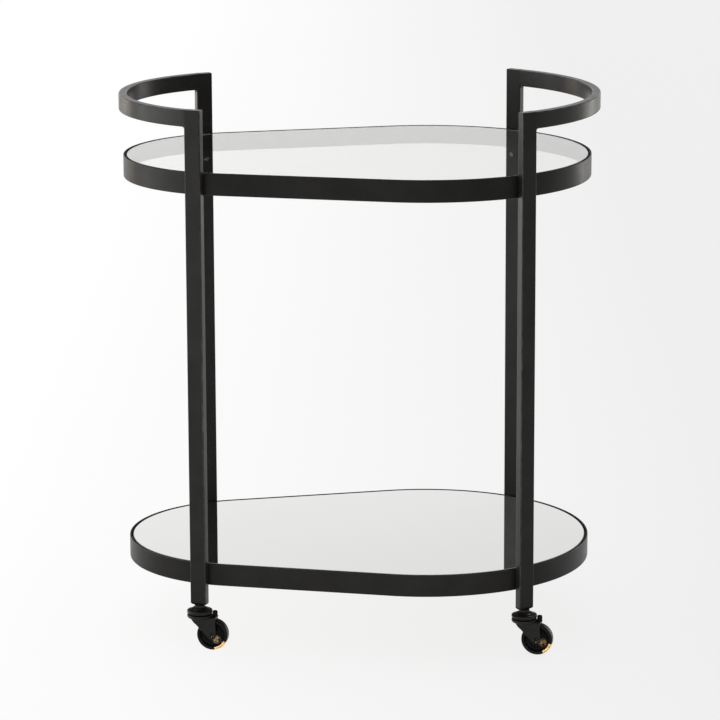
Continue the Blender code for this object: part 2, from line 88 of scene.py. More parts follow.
def add(tree, kind, values=None, **settings):
    """A node with its settings, and its inputs set to numbers or linked to sockets."""
    made = tree.nodes.new("ShaderNode" + kind)
    for key, value in settings.items():
        setattr(made, key, value)
    for key, value in (values or {}).items():
        if isinstance(value, bpy.types.NodeSocket):
            tree.links.new(value, made.inputs[key])
        else:
            made.inputs[key].default_value = value
    return made


def noise(tree, coords, size, detail=3.0, rough=0.55):
    """Noise with features of about that size in metres, from 0 to 1."""
    values = {"Vector": coords, "Scale": 1.0 / size, "Detail": detail, "Roughness": rough}
    return add(tree, "TexNoise", values).outputs["Fac"]


def remap(tree, value, low, high, out_low, out_high):
    """Value stretched from low..high to out_low..out_high, and held at the ends."""
    values = {"Value": value, 1: low, 2: high, 3: out_low, 4: out_high}
    return add(tree, "MapRange", values, clamp=True).outputs["Result"]


def mixed(tree, factor, first, second):
    """Colour between first and second."""
    made = add(tree, "Mix", data_type="RGBA")
    for key, value in ((0, factor), (6, first), (7, second)):
        if isinstance(value, bpy.types.NodeSocket):
            tree.links.new(value, made.inputs[key])
        else:
            made.inputs[key].default_value = value if key == 0 else (*value, 1.0)
    return made.outputs[2]


def times(tree, first, second, operation="MULTIPLY"):
    """Product of two values, or another operation on them."""
    return add(tree, "Math", {0: first, 1: second}, operation=operation).outputs[0]


def bump(tree, shader, height, depth, strength=1.0):
    """Relief of that depth in metres on the shader's normal."""
    made = add(tree, "Bump", {"Height": height, "Distance": depth, "Strength": strength})
    tree.links.new(made.outputs["Normal"], shader.inputs["Normal"])


def coated_metal(
    name, dark, light, rough, peel=0.0011, peel_depth=0.000022, specular=0.5, edge=0.05
):
    """Powder coat: clouded tone, orange peel, fine grain, smudged gloss, and rounded edges painted
    lighter, partly rubbed wear and partly painted highlight.
    """
    mat, tree, shader = new_material(name)
    coords = add(tree, "TexCoord").outputs["Object"]
    cloud = noise(tree, coords, 0.055, 4.0)
    tone = mixed(tree, remap(tree, cloud, 0.35, 0.65, 0.0, 1.0), dark, light)
    # Rounded edges take the lighter edge colour: partly rubbed wear, partly a painted highlight along the
    # edges.
    edge_rub_and_highlight = add(tree, "Attribute", attribute_name="edge").outputs["Fac"]
    patch = remap(tree, noise(tree, coords, 0.012, 5.0), 0.42, 0.62, 0.15, 1.0)
    worn = times(tree, edge_rub_and_highlight, patch)
    tone = mixed(tree, worn, tone, (edge, edge * 0.97, edge * 0.92))
    tree.links.new(tone, shader.inputs["Base Color"])
    smears = noise(tree, coords, 0.020, 5.0, 0.6)
    smudge = remap(tree, smears, 0.3, 0.7, rough - 0.035, rough + 0.045)
    polish = times(tree, worn, -0.16)
    tree.links.new(times(tree, smudge, polish, "ADD"), shader.inputs["Roughness"])
    shader.inputs["Specular IOR Level"].default_value = specular
    fine = times(tree, noise(tree, coords, peel * 0.28, 1.0), 0.35)
    height = times(tree, noise(tree, coords, peel, 2.0), fine, "ADD")
    bump(tree, shader, height, peel_depth)
    return mat


def clear_glass(name, tint):
    """Polished plate glass, strongly reflecting at low angles, with faint handling marks."""
    mat, tree, shader = new_material(name)
    coords = add(tree, "TexCoord").outputs["Object"]
    shader.inputs["Transmission Weight"].default_value = 1.0
    shader.inputs["IOR"].default_value = 1.6
    shader.inputs["Coat Weight"].default_value = 0.75
    shader.inputs["Coat IOR"].default_value = 1.45
    shader.inputs["Coat Roughness"].default_value = 0.0
    haze = noise(tree, coords, 0.09, 4.0, 0.6)
    tone = mixed(tree, haze, tint, tuple(c * 0.99 for c in tint))
    tree.links.new(tone, shader.inputs["Base Color"])
    tree.links.new(remap(tree, haze, 0.5, 0.8, 0.0, 0.012), shader.inputs["Roughness"])
    return mat


def silver_mirror(name):
    """Silvered glass: bright, very slightly uneven reflection."""
    mat, tree, shader = new_material(name)
    coords = add(tree, "TexCoord").outputs["Object"]
    cloud = noise(tree, coords, 0.16, 3.0)
    tone = mixed(tree, cloud, (0.82, 0.82, 0.808), (0.84, 0.84, 0.828))
    tree.links.new(tone, shader.inputs["Base Color"])
    shader.inputs["Metallic"].default_value = 1.0
    smears = noise(tree, coords, 0.05, 5.0)
    tree.links.new(remap(tree, smears, 0.45, 0.8, 0.012, 0.035), shader.inputs["Roughness"])
    bump(tree, shader, noise(tree, coords, 0.12, 1.0), 0.00001, 0.3)
    return mat


def ground_edge(name):
    """Ground glass edge, green and frosted."""
    mat, tree, shader = new_material(name)
    coords = add(tree, "TexCoord").outputs["Object"]
    grit = noise(tree, coords, 0.0006, 3.0)
    tone = mixed(tree, grit, (0.20, 0.27, 0.24), (0.34, 0.40, 0.36))
    tree.links.new(tone, shader.inputs["Base Color"])
    tree.links.new(remap(tree, grit, 0.3, 0.7, 0.18, 0.34), shader.inputs["Roughness"])
    shader.inputs["Metallic"].default_value = 0.35
    bump(tree, shader, grit, 0.00004)
    return mat


def bare_metal(
    name, dark, light, rough, scratch=0.0025, low=0.35, high=0.65, stain_and_glint_size=0.004
):
    """Plain metal with fine directional scratches and patches of a second colour: stains on the screws
    and the brass, painted glints on the rivet.
    """
    mat, tree, shader = new_material(name)
    coords = add(tree, "TexCoord").outputs["Object"]
    stretched = add(tree, "Mapping", {"Vector": coords, "Scale": (1.0, 6.0, 0.4)}).outputs["Vector"]
    lines = noise(tree, stretched, scratch, 5.0, 0.7)
    # Patches of the light colour: stains, and on the rivet small painted gold glints.
    stain_and_glint = remap(tree, noise(tree, coords, stain_and_glint_size, 4.0), low, high, 0.0, 1.0)
    tree.links.new(mixed(tree, stain_and_glint, dark, light), shader.inputs["Base Color"])
    shader.inputs["Metallic"].default_value = 1.0
    gloss = remap(tree, lines, 0.25, 0.75, rough - 0.08, rough + 0.10)
    tree.links.new(gloss, shader.inputs["Roughness"])
    bump(tree, shader, lines, 0.00003)
    return mat


def hardboard(name):
    """Pressed fibre board with short fibres."""
    mat, tree, shader = new_material(name)
    coords = add(tree, "TexCoord").outputs["Object"]
    long_way = add(tree, "Mapping", {"Vector": coords, "Scale": (0.25, 1.0, 1.0)}).outputs["Vector"]
    fibre = noise(tree, long_way, 0.0012, 6.0, 0.7)
    blotch = noise(tree, coords, 0.03, 3.0)
    streak = remap(tree, fibre, 0.3, 0.7, 0.0, 1.0)
    tone = mixed(tree, streak, (0.13, 0.075, 0.035), (0.27, 0.17, 0.09))
    tone = mixed(tree, times(tree, blotch, 0.5), tone, (0.17, 0.11, 0.06))
    tree.links.new(tone, shader.inputs["Base Color"])
    shader.inputs["Roughness"].default_value = 0.85
    bump(tree, shader, fibre, 0.0001)
    return mat


def soft_clear(name):
    """Clear silicone, slightly cloudy."""
    mat, tree, shader = new_material(name)
    coords = add(tree, "TexCoord").outputs["Object"]
    cloud = noise(tree, coords, 0.002, 3.0)
    tone = mixed(tree, cloud, (0.75, 0.78, 0.76), (0.9, 0.92, 0.9))
    tree.links.new(tone, shader.inputs["Base Color"])
    tree.links.new(remap(tree, cloud, 0.3, 0.7, 0.18, 0.3), shader.inputs["Roughness"])
    shader.inputs["Transmission Weight"].default_value = 0.7
    return mat


def wheel_black(name, patch, brown_dark, brown_light):
    """Satin black wheel face, with the brown undercoat showing through in a patch beside the axle."""
    mat, tree, shader = new_material(name)
    coords = add(tree, "TexCoord").outputs["Object"]
    away = add(tree, "VectorMath", {0: coords, 1: patch}, operation="SUBTRACT").outputs[0]
    flat = add(tree, "VectorMath", {0: away, 1: (1.0, 0.0, 1.0)}, operation="MULTIPLY").outputs[0]
    reach = add(tree, "VectorMath", {0: flat}, operation="LENGTH").outputs["Value"]
    near = remap(tree, reach, 0.0030, 0.0072, 1.0, 0.0)
    chip = remap(tree, noise(tree, coords, 0.0028, 4.0, 0.65), 0.40, 0.58, 0.0, 1.0)
    worn = times(tree, near, chip)
    brown = mixed(tree, noise(tree, coords, 0.0015, 2.0), brown_dark, brown_light)
    cloud = noise(tree, coords, 0.006, 3.0)
    black = mixed(tree, cloud, (0.0008, 0.0008, 0.0008), (0.0022, 0.0020, 0.0018))
    tree.links.new(mixed(tree, worn, black, brown), shader.inputs["Base Color"])
    tree.links.new(remap(tree, cloud, 0.3, 0.7, 0.28, 0.42), shader.inputs["Roughness"])
    shader.inputs["Specular IOR Level"].default_value = 0.06
    bump(tree, shader, noise(tree, coords, 0.0007, 3.0), 0.00003)
    return mat


COAT_DARK, COAT_LIGHT = (0.0060, 0.0058, 0.0051), (0.0105, 0.0101, 0.0089)
RIM_DARK, RIM_LIGHT = (0.0054, 0.0051, 0.0044), (0.0092, 0.0087, 0.0075)
CAST_DARK, CAST_LIGHT = (0.0050, 0.0048, 0.0043), (0.0105, 0.0100, 0.0092)
TREAD_DARK, TREAD_LIGHT = (0.0030, 0.0027, 0.0024), (0.0075, 0.0067, 0.0058)
LEDGE_DARK, LEDGE_LIGHT = (0.006, 0.006, 0.0055), (0.011, 0.0108, 0.010)
PLUG_DARK, PLUG_LIGHT = (0.004, 0.004, 0.004), (0.007, 0.007, 0.007)
JET_DARK, JET_LIGHT = (0.002, 0.002, 0.002), (0.004, 0.004, 0.004)
BROWN_LEFT = (0.24, 0.16, 0.08), (0.56, 0.43, 0.25)
BROWN_RIGHT = (0.18, 0.08, 0.03), (0.45, 0.25, 0.11)
# Few small gold patches on the dark rivet: painted glints.
PAINTED_GOLD_GLINTS = {"scratch": 0.0012, "low": 0.54, "high": 0.66, "stain_and_glint_size": 0.0026}
# edge: the lighter colour painted on rounded edges, partly rubbed wear and partly painted highlight.
FRAME = coated_metal("frame_coat", COAT_DARK, COAT_LIGHT, 0.35, specular=0.145, edge=0.03)
LEG_SIDE = coated_metal("leg_side_coat", COAT_DARK, COAT_LIGHT, 0.30, specular=0.46, edge=0.03)
HANDLE = coated_metal("handle_coat", COAT_DARK, COAT_LIGHT, 0.29, specular=0.15, edge=0.06)
RIM = coated_metal("rim_coat", RIM_DARK, RIM_LIGHT, 0.34, specular=0.12, edge=0.04)
# Darker, duller copy of the rim coat: painted shade for the rim's top and inner wall.
RIM_PAINTED_SHADE = coated_metal("rim_painted_shade", JET_DARK, JET_LIGHT, 0.5, specular=0.02)
LEDGE = coated_metal("ledge_coat", LEDGE_DARK, LEDGE_LIGHT, 0.50, specular=0.15)
WELD = coated_metal("weld_coat", COAT_DARK, COAT_LIGHT, 0.38, 0.0018, 0.00005, 0.17)
PLUG = coated_metal("plug_plastic", PLUG_DARK, PLUG_LIGHT, 0.50, specular=0.15)
CASTER = coated_metal("caster_coat", CAST_DARK, CAST_LIGHT, 0.24, 0.0016, 0.00004, 0.16)
KNOB = coated_metal("stop_coat", JET_DARK, JET_LIGHT, 0.30, specular=0.05)
TREAD = coated_metal("tread_coat", TREAD_DARK, TREAD_LIGHT, 0.24, specular=0.08)
WHEEL = {
    "left": wheel_black("wheel_coat_left", (0.0060, 0.0, -0.0076), *BROWN_LEFT),
    "right": wheel_black("wheel_coat_right", (0.0086, 0.0, -0.0050), *BROWN_RIGHT),
}
GLASS = clear_glass("shelf_glass", (0.835, 0.845, 0.79))
SILVER = silver_mirror("shelf_mirror")
EDGE = ground_edge("mirror_edge")
BOARD = hardboard("backing_board")
PAD = soft_clear("pad_silicone")
SCREW = bare_metal("screw_zinc", (0.12, 0.12, 0.125), (0.32, 0.32, 0.31), 0.20)
RIVET = bare_metal("rivet_steel", (0.006, 0.005, 0.004), (0.42, 0.34, 0.20), 0.26, **PAINTED_GOLD_GLINTS)
BRASS = bare_metal("worn_brass", (0.62, 0.36, 0.12), (0.86, 0.60, 0.27), 0.32, 0.0016)


# ---------------------------------------------------------------- mesh helpers
# The lamps light every piece but the two that would mirror them, and not the floor.
LAMP_LIT = bpy.data.collections.new("lit_by_lamps")
LAMP_FREE = ("top_glass_fine", "mirror_fine")


def rounded_section(wide, high, radius, parts=4):
    """Rounded rectangle about (0, 0): points (u, v, on the corner arc)."""
    points = []
    for quarter in range(4):
        angle0 = quarter * math.pi / 2
        cu = (wide / 2 - radius) * (1 if quarter in (0, 3) else -1)
        cv = (high / 2 - radius) * (1 if quarter in (0, 1) else -1)
        for i in range(parts + 1):
            angle = angle0 + math.pi / 2 * i / parts
            # Points on the corner arcs, which coated pieces paint lighter: partly rubbed wear, partly
            # painted highlight.
            worn = 1.0 if 0 < i < parts else 0.0
            points.append((cu + radius * math.cos(angle), cv + radius * math.sin(angle), worn))
    return points


def skin(bm, rings, closed, wear=None):
    """Quads between each ring of points and the next; an open run is capped at both ends."""
    # The edge layer marks the rounded edges that coated pieces paint lighter, partly as wear and partly
    # as painted highlight.
    layer = bm.verts.layers.float.get("edge") or bm.verts.layers.float.new("edge")
    made = []
    for ring in rings:
        row = [bm.verts.new(point) for point in ring]
        for i, vert in enumerate(row):
            vert[layer] = wear[i] if wear else 0.0
        made.append(row)
    following = made[1:] + made[:1] if closed else made[1:]
    for here, there in zip(made, following):
        for i in range(len(here)):
            j = (i + 1) % len(here)
            bm.faces.new((here[i], here[j], there[j], there[i]))
    if not closed:
        bm.faces.new(made[0])
        bm.faces.new(made[-1])
    return made


def softened(profile, radius, parts=3):
    """The polyline with each inner corner rounded off."""
    out = [profile[0]]
    for before, corner, after in zip(profile, profile[1:], profile[2:]):
        p, a, b = Vector(corner), Vector(before), Vector(after)
        reach = min(radius, 0.45 * (a - p).length, 0.45 * (b - p).length)
        start, end = p + (a - p).normalized() * reach, p + (b - p).normalized() * reach
        for i in range(parts + 1):
            t = i / parts
            out.append(tuple(start * (1 - t) ** 2 + p * 2 * t * (1 - t) + end * t * t))
    out.append(profile[-1])
    return out


def lathe(bm, profile, steps, bored=False, axis="Z"):
    """Profile of (radius, height), top to bottom, turned about Z or Y."""
    rings = []
    for radius, height in profile:
        count = 1 if radius < 1e-7 else steps
        ring = []
        for i in range(count):
            angle = 2 * math.pi * i / steps
            u, v = radius * math.cos(angle), radius * math.sin(angle)
            ring.append(bm.verts.new((u, v, height) if axis == "Z" else (u, height, v)))
        rings.append(ring)
    pairs = list(zip(rings, rings[1:]))
    if bored:
        pairs.append((rings[-1], rings[0]))
    for here, there in pairs:
        for i in range(steps):
            j = (i + 1) % steps
            if len(here) == 1:
                bm.faces.new((here[0], there[i], there[j]))
            elif len(there) == 1:
                bm.faces.new((here[i], here[j], there[0]))
            else:
                bm.faces.new((here[i], here[j], there[j], there[i]))


def add_piece(name, bm, materials, body="cart", replaces=(), place=None):
    """Finishes the mesh and puts the piece on its body."""
    bmesh.ops.recalc_face_normals(bm, faces=bm.faces)
    mesh = bpy.data.meshes.new(name)
    bm.to_mesh(mesh)
    bm.free()
    mesh.shade_smooth()
    mesh.set_sharp_from_angle(angle=SHARP_TURN)
    for face in mesh.polygons:
        face.use_smooth = len(face.vertices) <= 4
    for material in materials if isinstance(materials, (list, tuple)) else [materials]:
        mesh.materials.append(material)
    obj = bpy.data.objects.new(name, mesh)
    flatten = obj.modifiers.new("flat_faces", "WEIGHTED_NORMAL")
    flatten.keep_sharp = True
    flatten.weight = 90
    bpy.context.scene.collection.objects.link(obj)
    obj.matrix_world = place or Matrix.Identity(4)
    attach(obj, body)
    if replaces:
        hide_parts(*replaces)
    if name not in LAMP_FREE:
        LAMP_LIT.objects.link(obj)
    return obj


def arc_angles(start, end):
    """Angles from start to end in fine steps."""
    count = max(2, round(abs(end - start) / FINE_STEP))
    return [start + (end - start) * i / count for i in range(count + 1)]


def shelf_path():
    """Shelf outline: (centre x, radius, angle) of each point, so that it can be offset."""
    span = CENTRE_X["right"] - CENTRE_X["left"]
    lean = math.asin((SHELF_R["right"] - SHELF_R["left"]) / span)
    side = math.pi / 2 + lean
    right = [(CENTRE_X["right"], SHELF_R["right"], a) for a in arc_angles(-side, side)]
    left = [(CENTRE_X["left"], SHELF_R["left"], a) for a in arc_angles(side, 2 * math.pi - side)]
    return right + left


def shelf_ring(inset, z):
    """Shelf outline at a height, moved in by the inset."""
    return [
        Vector((cx + (radius - inset) * math.cos(a), (radius - inset) * math.sin(a), z))
        for cx, radius, a in shelf_path()
    ]


def inset_ring(section, inset, z):
    """Section laid flat at a height, with each of its points moved in."""
    return [(u - math.copysign(inset, u), v - math.copysign(inset, v), z) for u, v, _ in section]


def swept_band(bm, inset, wide, high, middle_z, radius):
    """Flat bar with rounded edges bent round the shelf outline; inset is its outer face."""
    section = rounded_section(wide, high, radius, 3)
    rings = []
    for cx, shelf_r, angle in shelf_path():
        ring = []
        for u, v, _ in section:
            reach = shelf_r - inset - wide / 2 + u
            ring.append((cx + reach * math.cos(angle), reach * math.sin(angle), middle_z + v))
        rings.append(ring)
    skin(bm, rings, True, [worn for _, _, worn in section])


def shelf_plate(bm, low, high, arris):
    """Plate to the shelf outline with rounded arrises."""
    rings = []
    turns = [math.radians(a) for a in (0, 30, 60, 90)]
    for z_edge, sign in ((low, 1), (high, -1)):
        steps = [(1 - math.sin(turn), 1 - math.cos(turn)) for turn in turns]
        if sign < 0:
            steps.reverse()
        for side, rise in steps:
            rings.append(shelf_ring(SHELF_INSET + arris * side, z_edge + sign * arris * rise))
    return skin(bm, rings, False)


def side_of(corner):
    """Left or right."""
    return corner.split("_")[1]


def leg_frame(corner):
    """Leg axes on the floor: local +Y points out of the cart, local X runs along the rim."""
    spot = LEG_SPOT[corner]
    out = Vector((spot.x - CENTRE_X[side_of(corner)], spot.y, 0)).normalized()
    turn = math.atan2(-out.x, out.y)
    return Matrix.Translation((spot.x, spot.y, 0)) @ Matrix.Rotation(turn, 4, "Z")


# ---------------------------------------------------------------- legs and handles
def build_leg(corner):
    """Rectangular tube with rounded corners, a softly closed top and a square-cut hollow foot."""
    bm = bmesh.new()
    section = rounded_section(TUBE_W, TUBE_T, TUBE_CORNER)
    inner = rounded_section(TUBE_W - 2 * TUBE_WALL, TUBE_T - 2 * TUBE_WALL, 0.0006)
    rings = [inset_ring(inner, 0.0, LEG_LOW + rise) for rise in (0.011, 0.0001)]
    rings += [inset_ring(section, 0.0002, LEG_LOW), inset_ring(section, 0.0, LEG_LOW + 0.0002)]
    for drop, inset in ((0.0009, 0.0), (0.00045, 0.00012), (0.00012, 0.00045), (0.0, 0.0009)):
        rings.append(inset_ring(section, inset, HANDLE_TOP - drop))
    skin(bm, rings, False, [worn for _, _, worn in section])
    narrow_side = TUBE_W / 2 - 0.0003
    for face in bm.faces:
        face.material_index = 1 if abs(face.calc_center_median().x) > narrow_side else 0
    name = "leg_" + corner
    place = leg_frame(corner)
    add_piece(name + "_fine", bm, [FRAME, LEG_SIDE], replaces=[name], place=place)


def handle_arc(side):
    """Centre, radius and half angle of the bend through both legs' narrow sides and the end."""
    away = 1.0 if side == "left" else -1.0
    joint = leg_frame("front_" + side) @ Vector((away * TUBE_W / 2, 0, 0))
    end_x = -away * (HALF_LENGTH - FACET_SLACK - TUBE_T / 2)
    centre_x = (end_x ** 2 - joint.x ** 2 - joint.y ** 2) / (2 * (end_x - joint.x))
    return centre_x, abs(end_x - centre_x), math.atan2(abs(joint.y), abs(joint.x - centre_x))


def build_handle(side):
    """Tube bent on edge round the end of the cart, cut to sit flat on both legs."""
    bm = bmesh.new()
    section = rounded_section(TUBE_T, TUBE_W, TUBE_CORNER)
    centre_x, radius, half = handle_arc(side)
    middle = math.pi if side == "left" else 0.0
    faces = {}
    for end, corner in ((-1, "front_" + side), (1, "back_" + side)):
        away = 1.0 if corner in ("front_left", "back_right") else -1.0
        place = leg_frame(corner)
        faces[end] = (place @ Vector((away * TUBE_W / 2, 0, 0)), place.to_3x3() @ Vector((away, 0, 0)))
    rings = []
    count = 2 * round(half / FINE_STEP)
    for k in range(count + 1):
        turn = half * (2.0 * k / count - 1.0)
        ring = []
        for u, v, _ in section:
            reach = radius + u
            angle = middle + (turn if side == "right" else -turn)
            x, y = centre_x + reach * math.cos(angle), reach * math.sin(angle)
            ring.append(Vector((x, y, HANDLE_TOP - TUBE_W / 2 + v)))
        rings.append(ring)
    for ring, end in ((rings[0], -1), (rings[-1], 1)):
        spot, normal = faces[end]
        for point in ring:
            point -= normal * (point - spot).dot(normal)
    into_groove = TUBE_CORNER - 0.0001      # the ends run on into the grooves of the legs' corners
    rings.insert(0, [point - faces[-1][1] * into_groove for point in rings[0]])
    rings.append([point - faces[1][1] * into_groove for point in rings[-1]])
    skin(bm, rings, False, [worn for _, _, worn in section])
    name = "handle_" + side
    add_piece(name + "_fine", bm, HANDLE, replaces=[name])


def build_fillet(corner):
    """Concave weld fillet in the corner under the handle, against the leg's narrow side."""
    bm = bmesh.new()
    away = 1.0 if corner in ("front_left", "back_right") else -1.0
    reach, under = FILLET_REACH, HANDLE_TOP - TUBE_W
    profile = [(-0.0006, 0.0006), (-0.0006, -reach)]
    for i in range(9):
        angle = math.radians(90.0 * i / 8)
        profile.append((reach * (1 - math.cos(angle)), -reach * (1 - math.sin(angle))))
    profile.append((reach, 0.0006))
    rings = []
    width = TUBE_T / 2 - 0.0011
    beads = ((-1.0, 0.75), (-0.86, 1.0), (-0.4, 1.03), (0.0, 0.98), (0.4, 1.02), (0.86, 1.0), (1.0, 0.75))
    for y, shrink in beads:
        ring = []
        for u, v in profile:
            ring.append((away * (TUBE_W / 2 + u * shrink), y * width, under + v * shrink))
        rings.append(ring)
    skin(bm, rings, False)
    add_piece(f"weld_{corner}", bm, WELD, place=leg_frame(corner))


def build_plug(corner):
    """Plastic foot plug: chamfered flange below the tube and ribbed insert inside it."""
    bm = bmesh.new()
    low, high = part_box("leg_plug_" + corner)
    section = rounded_section(TUBE_W, TUBE_T, TUBE_CORNER)
    flange = 0.0030
    steps = ((0.0, 0.0024), (0.0006, 0.0015), (0.0014, 0.0007), (0.0020, 0.0002), (flange, 0.0))
    rings = [inset_ring(section, inset, low.z + rise) for rise, inset in steps]
    for z, inset in ((low.z + flange, 0.0022), (high.z - 0.0006, 0.0022), (high.z, 0.0028)):
        rings.append(inset_ring(section, inset, z))
    skin(bm, rings, False, [worn for _, _, worn in section])
    name = "leg_plug_" + corner
    add_piece(name + "_fine", bm, PLUG, replaces=[name], place=leg_frame(corner))


# ---------------------------------------------------------------- rims and shelves
def build_rim(node, level):
    """Flat bar on edge round a shelf, with painted shade on top and inside: a darker, duller copy of the
    coat there.
    """
    bm = bmesh.new()
    middle_z = RIM_HIGH[level] - RIM_HEIGHT / 2
    swept_band(bm, FACET_SLACK, RIM_THICK, RIM_HEIGHT, middle_z, RIM_CORNER)
    sides = 16                   # faces round the section; 2 to 7 are the top and the inner wall, which get the painted shade
    for i, face in enumerate(bm.faces):
        face.material_index = 1 if 2 <= i % sides <= 7 else 0
    add_piece(node + "_fine", bm, [RIM, RIM_PAINTED_SHADE], replaces=[node])


def build_ledge(node):
    """Flat bar inside a rim that carries the glass or the mirror."""
    bm = bmesh.new()
    low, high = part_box(node)
    swept_band(bm, RIM_THICK, LEDGE_WIDE, high.z - low.z, (low.z + high.z) / 2, 0.0005)
    add_piece(node + "_fine", bm, LEDGE, replaces=[node])


def build_lug(level, corner):
    """Rounded tab below the rim behind a leg, that the screw's head sits on."""
    bm = bmesh.new()
    half, low, corner_r = LUG_WIDTH / 2, -LUG_DROP, 0.0030
    outline = [(half, 0.006), (-half, 0.006)]
    for centre_x, start in ((-half + corner_r, math.pi), (half - corner_r, 1.5 * math.pi)):
        for i in range(7):
            angle = start + math.pi / 2 * i / 6
            x = centre_x + corner_r * math.cos(angle)
            outline.append((x, low + corner_r + corner_r * math.sin(angle)))
    face = -(TUBE_T / 2 + LUG_GAP)
    base = RIM_HIGH[level] - RIM_HEIGHT
    rings = []
    for depth, inset in ((0.0, 0.0003), (0.0003, 0.0), (0.0023, 0.0), (LUG_THICK, 0.0003)):
        ring = []
        for x, z in outline:
            ring.append((x * (1 - inset / half), face - depth, base + z * (1 - inset / LUG_DROP)))
        rings.append(ring)
    skin(bm, rings, False)
    add_piece(f"lug_{level}_{corner}", bm, RIM, place=leg_frame(corner))


def build_screw(node, level, corner):
    """Button head with a hex socket."""
    bm = bmesh.new()
    head_r, head_h, shank_r, shank_long = 0.0040, 0.0022, 0.0020, 0.0085
    count = 24
    turns = [2 * math.pi * i / count for i in range(count)]
    rings = []
    for z in (-shank_long, 0.0):
        rings.append([(shank_r * math.cos(a), shank_r * math.sin(a), z) for a in turns])
    dome = ((1.0, 0.02), (1.0, 0.26), (0.97, 0.42), (0.90, 0.62), (0.76, 0.84), (0.60, 0.97), (0.52, 1.0))
    for r, h in dome:
        rings.append([(head_r * r * math.cos(a), head_r * r * math.sin(a), head_h * h) for a in turns])
    for depth, flat in ((0.0, 0.00128), (0.0001, 0.00120), (0.0013, 0.00118)):
        ring = []
        for a in turns:
            fold = (a + math.pi / 6) % (math.pi / 3) - math.pi / 6
            reach = flat / math.cos(fold)
            ring.append((reach * math.cos(a), reach * math.sin(a), head_h - depth))
        rings.append(ring)
    skin(bm, rings, False)
    z = RIM_HIGH[level] - RIM_HEIGHT - SCREW_DROP
    lug_face = -(TUBE_T / 2 + LUG_GAP + LUG_THICK)
    seat = Matrix.Translation((0, lug_face, z)) @ Matrix.Rotation(math.pi / 2, 4, "X")
    place = leg_frame(corner) @ seat
    add_piece(node + "_fine", bm, SCREW, replaces=[node], place=place)


def build_shelves():
    """Clear glass, mirror with a ground edge, and the board behind the mirror."""
    bm = bmesh.new()
    low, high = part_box("top_glass")
    shelf_plate(bm, low.z, high.z, 0.0007)
    add_piece("top_glass_fine", bm, GLASS, replaces=["top_glass"])

    bm = bmesh.new()
    low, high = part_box("mirror")
    shelf_plate(bm, low.z, high.z, 0.0009)
    for face in bm.faces:
        face.material_index = 0 if abs(face.normal.z) > 0.999 or len(face.verts) > 4 else 1
    add_piece("mirror_fine", bm, [SILVER, EDGE], replaces=["mirror"])

    bm = bmesh.new()
    low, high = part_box("mirror_backing")
    shelf_plate(bm, low.z, high.z, 0.0004)
    add_piece("mirror_backing_fine", bm, BOARD, replaces=["mirror_backing"])


def build_pad(node):
    """Low clear dome."""
    bm = bmesh.new()
    low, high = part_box(node)
    centre = (low + high) / 2
    radius, tall = (high.x - low.x) / 2, high.z - low.z
    profile = [(0.0, tall / 2), (radius * 0.55, tall / 2), (radius * 0.86, tall * 0.22)]
    profile += [(radius, -tall / 2), (0.0, -tall / 2)]
    lathe(bm, softened(profile, 0.0007), 36)
    place = Matrix.Translation(centre)
    add_piece(node + "_fine", bm, PAD, replaces=[node], place=place)


# ---------------------------------------------------------------- casters
WHEEL_R, WHEEL_HALF = 0.0236, 0.0080
RING_INNER_R = 0.0193
FORK_HALF, FORK_WALL = 0.0117, 0.0020
CUP_R, CUP_TOP, CUP_LOW = 0.0194, 0.0616, 0.0552
STOP_R, STOP_X = 0.0039, 0.0235
PLATE_TOP, PLATE_LOW = 0.0547, 0.0485
ARM_END_R = 0.0064
ARM_CENTRE = Vector((0.012, 0.038))
ARM_EDGE = (                         # depth from the outer face, and inset there
    (0.0, 0.0013),
    (0.0002, 0.0007),
    (0.0006, 0.0002),
    (0.0011, 0.0),
    (0.0016, 0.0),
    (0.0020, 0.0004),
)
TRAIL = (HUB_SPOT["front_left"] - LEG_SPOT["front_left"]).xy.length
BRASS_ARCS = {                       # degrees round each wheel, 0 away from the leg
    "front_left": (-80.0, -28.0),
    "front_right": (-63.0, -16.0),
    "back_left": (100.0, 154.0),
    "back_right": (-140.0, -86.0),
}


def caster_frame(corner):
    """Swivel axes on the floor: local X trails to the wheel, local Y is the axle."""
    trail = HUB_SPOT[corner] - LEG_SPOT[corner]
    turn = math.atan2(trail.y, trail.x)
    spot = LEG_SPOT[corner]
    return Matrix.Translation((spot.x, spot.y, 0)) @ Matrix.Rotation(turn, 4, "Z")


def build_stem(corner, place):
    """Stem end in the leg, round neck and king rivet."""
    low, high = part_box(f"caster_{corner}_stem")
    neck_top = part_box("leg_plug_" + corner)[0].z - 0.0002
    bm = bmesh.new()
    profile = [(0.0, high.z), (0.0034, high.z), (0.0040, high.z - 0.0006), (0.0040, neck_top)]
    profile += [(0.0076, neck_top), (0.0080, neck_top - 0.0006), (0.0080, CUP_TOP + 0.0022)]
    profile += [(0.0081, CUP_TOP + 0.0001), (0.0036, CUP_TOP + 0.0001), (0.0036, PLATE_LOW)]
    profile += [(0.0062, PLATE_LOW - 0.0002), (0.0062, PLATE_LOW - 0.0013)]
    profile += [(0.0048, PLATE_LOW - 0.0027), (0.0, low.z)]
    lathe(bm, softened(profile, 0.0004, 2), 40)
    node = f"caster_{corner}_stem"
    add_piece(node + "_fine", bm, CASTER, replaces=[node], place=place)


